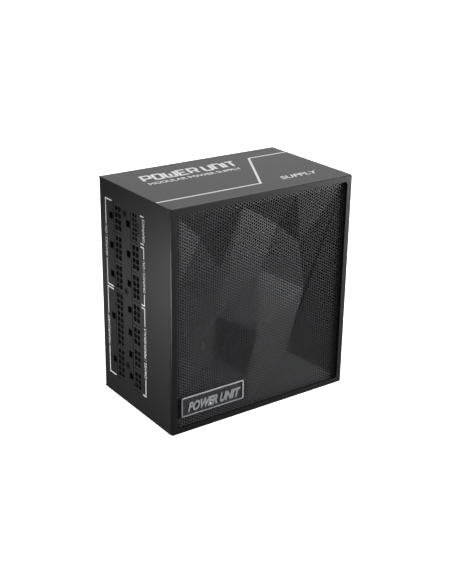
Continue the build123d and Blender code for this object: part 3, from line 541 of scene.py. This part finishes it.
def squareLettering(made, face, words, box, strokeWide, lift, thick, slant):
    letters, reach = [], 0.0
    for letter in words:
        if letter != " ":
            letters.append((letter, reach))
            reach += max(x for line in strokes[letter] for x, y in line)
        reach += letterGap
    reach -= letterGap
    half = strokeWide / 2
    wide = (box[2] - box[0] - strokeWide - slant * (box[3] - box[1])) / reach
    tall = (box[3] - box[1] - strokeWide) / letterHigh
    for letter, start in letters:
        for line in strokes[letter]:
            points = [(box[0] + half + (start + x) * wide + slant * (y * tall + half),
                       box[1] + half + y * tall) for x, y in line]
            stripe(made, face, points, strokeWide, lift, thick)


# white print on the top: one long line that steps across, a title and two small lines of words
topPrint = {"lineWidth": 1.6, "line": [(0.4, 16.5), (77.5, 16.5), (107.0, 69.5), (139.6, 69.5)],
            "title": ("POWER UNIT", (17.0, 58.0, 94.0, 70.5), 0.22), "titleStroke": 2.1,
            "under": ("MODULAR POWER SUPPLY", (17.0, 50.0, 88.0, 54.4), 0.0),
            "mark": ("SUPPLY", (95.0, 16.0, 126.0, 22.0), 0.3)}


def printTop():
    made = bmesh.new()
    stripe(made, "top", topPrint["line"], topPrint["lineWidth"], 0, inkThick / mm)
    words, box, slant = topPrint["title"]
    squareLettering(made, "top", words, box, topPrint["titleStroke"], 0, inkThick / mm, slant)
    for key in ("under", "mark"):
        words, box, slant = topPrint[key]
        lettering(made, "top", words, box, 0, inkThick / mm, slant=slant)
    closedPiece(made, "top_print", ink)


# brackets beside the socket columns, each broken by words that read upwards
panelPrint = {"lineWidth": 0.8, "capHigh": 2.5, "left": 7.8, "right": 54.5, "wordGap": 1.2,
              "leftEnds": 15.6, "rightEnds": 50.8,
              "leftRows": [("GRAPHICS / CPU", 79.0, 137.6, 98.0, 119.0),
                           ("MAINBOARD", 14.5, 77.0, 35.0, 56.0)],
              "rightRows": [("GRAPHICS", 119.3, 137.0, 120.8, 135.6),
                            ("GRAPHICS / CPU", 78.5, 117.0, 87.5, 108.5),
                            ("DRIVES / PERIPHERALS", 14.5, 76.5, 28.0, 63.0)]}


def printPanel():
    made = bmesh.new()
    width, gap = panelPrint["lineWidth"], panelPrint["wordGap"]
    for side, ends, rows in (("left", "leftEnds", "leftRows"), ("right", "rightEnds", "rightRows")):
        u, end = panelPrint[side], panelPrint[ends]
        for words, low, high, textLow, textHigh in panelPrint[rows]:
            stripe(made, "panel", [(end, low), (u, low), (u, textLow - gap)], width, 0, inkThick / mm)
            stripe(made, "panel", [(u, textHigh + gap), (u, high), (end, high)], width, 0, inkThick / mm)
            half = panelPrint["capHigh"] / 2
            lettering(made, "panel", words, (u - half, textLow, u + half, textHigh), 0, inkThick / mm,
                      turned=True, weight=0.0)
    closedPiece(made, "panel_print", ink)


# badge: bright cut rim and raised letters on the dark plate
badgeSet = {"rimWide": 0.7, "rimHigh": 0.35, "letterHigh": 0.3, "corner": 0.8,
            "words": ("POWER UNIT", 4.5, 2.6, 45.5, 9.2), "slant": 0.35, "weight": 0.04,
            "sunk": 0.3, "shoulder": 0.6}      # rim's foot below the plate's face, and its shoulder's share


def roundedOutline(u0, v0, u1, v1, radius, steps=6):
    centres = ((u1 - radius, v0 + radius, -90), (u1 - radius, v1 - radius, 0),
               (u0 + radius, v1 - radius, 90), (u0 + radius, v0 + radius, 180))
    return [(cu + radius * cos(radians(start + 90 * i / steps)),
             cv + radius * sin(radians(start + 90 * i / steps)))
            for cu, cv, start in centres for i in range(steps + 1)]


def badge():
    low, high = (Vector(c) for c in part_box("badge_plate"))
    u0, v0 = (low.x - caseLow.x) / mm, (low.z - caseLow.z) / mm
    u1, v1 = (high.x - caseLow.x) / mm, (high.z - caseLow.z) / mm
    seat = (fanFaceY - low.y) / mm
    made = bmesh.new()
    wide, tall = badgeSet["rimWide"], badgeSet["rimHigh"]
    outer = roundedOutline(u0, v0, u1, v1, badgeSet["corner"])
    inner = roundedOutline(u0 + wide, v0 + wide, u1 - wide, v1 - wide, badgeSet["corner"] - wide / 2)
    rings = [[made.verts.new(facePoint("fan", u, v, lift)) for u, v in line]
             for line, lift in ((outer, seat - badgeSet["sunk"]), (outer, seat + tall * badgeSet["shoulder"]),
                                (inner, seat + tall), (inner, seat))]
    for a, b in zip(rings, rings[1:] + rings[:1]):
        for i in range(len(outer)):
            j = (i + 1) % len(outer)
            made.faces.new((a[i], a[j], b[j], b[i]))
    closedPiece(made, "badge_rim", finishes["cutEdge"], "badge")
    made = bmesh.new()
    words, du0, dv0, du1, dv1 = badgeSet["words"]
    lettering(made, "fan", words, (u0 + du0, v0 + dv0, u0 + du1, v0 + dv1), seat, badgeSet["letterHigh"],
              slant=badgeSet["slant"], weight=badgeSet["weight"])
    closedPiece(made, "badge_letters", finishes["raised"], "badge")


# on and off marks on the rocker's two slopes, which meet in a valley over the pivot
rockerSet = {"restTilt": 12.0, "slope": 12.5, "valley": 4.2, "high": 0.08,
             "markAt": 5.2, "markHalf": (1.5, 1.7),
             "marks": ((1, "O", 1.0), (-1, "I", 0.2))}     # side, mark, its share of the width


def rockerMarks():
    joint = next(j for j in frame["record"]["behaviour"]["joints"] if j["name"] == "rocker_tilt")
    tilt = Matrix.Rotation(radians(rockerSet["restTilt"]), 3, "Z")
    valley = Vector(joint["pos_m"]) + tilt @ Vector((rockerSet["valley"] * mm, 0, 0))
    made = bmesh.new()
    slope = radians(rockerSet["slope"])
    for side, mark, narrow in rockerSet["marks"]:
        faces["rocker"] = (valley, tilt @ Vector((side * sin(slope), cos(slope), 0)), Vector((0, 0, 1)))
        u, halfV = side * rockerSet["markAt"], rockerSet["markHalf"][1]
        halfU = rockerSet["markHalf"][0] * narrow
        lettering(made, "rocker", mark, (u - halfU, -halfV, u + halfU, halfV), 0, rockerSet["high"],
                  weight=0.0)
    closedPiece(made, "rocker_marks", ink, body="rocker")


# plain label on the long wall: a heading and an empty table for volts, amps and watts
labelSet = {"box": (22.0, 46.0, 118.0, 106.0), "corner": 2.0, "thick": 0.08, "inset": 2.5, "line": 0.35,
            "rows": 3, "columns": 6, "tableTop": 86.0, "headings": ("WATTS", "AMPS", "VOLTS"),
            "headingHigh": 3.2, "headingHalf": 1.15, "headingRise": 0.36,
            # words, low and high above the table, width, extra weight
            "lines": (("DESKTOP POWER SUPPLY", 9, 15, 62, 0.02),
                      ("AC INPUT    DC OUTPUT", 2.6, 5.6, 42, 0.0))}


def ratingLabel():
    u0, v0, u1, v1 = labelSet["box"]
    made = bmesh.new()
    flatPrism(made, "back", roundedOutline(u0, v0, u1, v1, labelSet["corner"]), 0, labelSet["thick"])
    closedPiece(made, "rating_label", finishes["paper"])
    made = bmesh.new()
    inset, line, lift = labelSet["inset"], labelSet["line"], labelSet["thick"]
    ink0, ink1, low, high = u0 + inset, u1 - inset, v0 + inset, labelSet["tableTop"]
    for row in range(labelSet["rows"] + 1):
        v = low + (high - low) * row / labelSet["rows"]
        stripe(made, "back", [(ink0, v), (ink1, v)], line, lift, inkThick / mm)
    for column in range(labelSet["columns"] + 1):
        u = ink0 + (ink1 - ink0) * column / labelSet["columns"]
        stripe(made, "back", [(u, low), (u, high)], line, lift, inkThick / mm)
    rowHigh, columnWide = (high - low) / labelSet["rows"], (ink1 - ink0) / labelSet["columns"]
    for row, word in enumerate(labelSet["headings"]):
        u, v = ink0 + columnWide / 2, low + rowHigh * (row + labelSet["headingRise"])
        half = labelSet["headingHalf"] * len(word)
        lettering(made, "back", word, (u - half, v, u + half, v + labelSet["headingHigh"]), lift,
                  inkThick / mm, weight=0.0)
    for words, bottom, top, wide, weight in labelSet["lines"]:
        lettering(made, "back", words, (ink0, high + bottom, ink0 + wide, high + top), lift,
                  inkThick / mm, weight=weight)
    closedPiece(made, "label_print", finishes["labelInk"])


printTop()
printPanel()
badge()
rockerMarks()
ratingLabel()
print("prints, badge, rocker marks and label done")
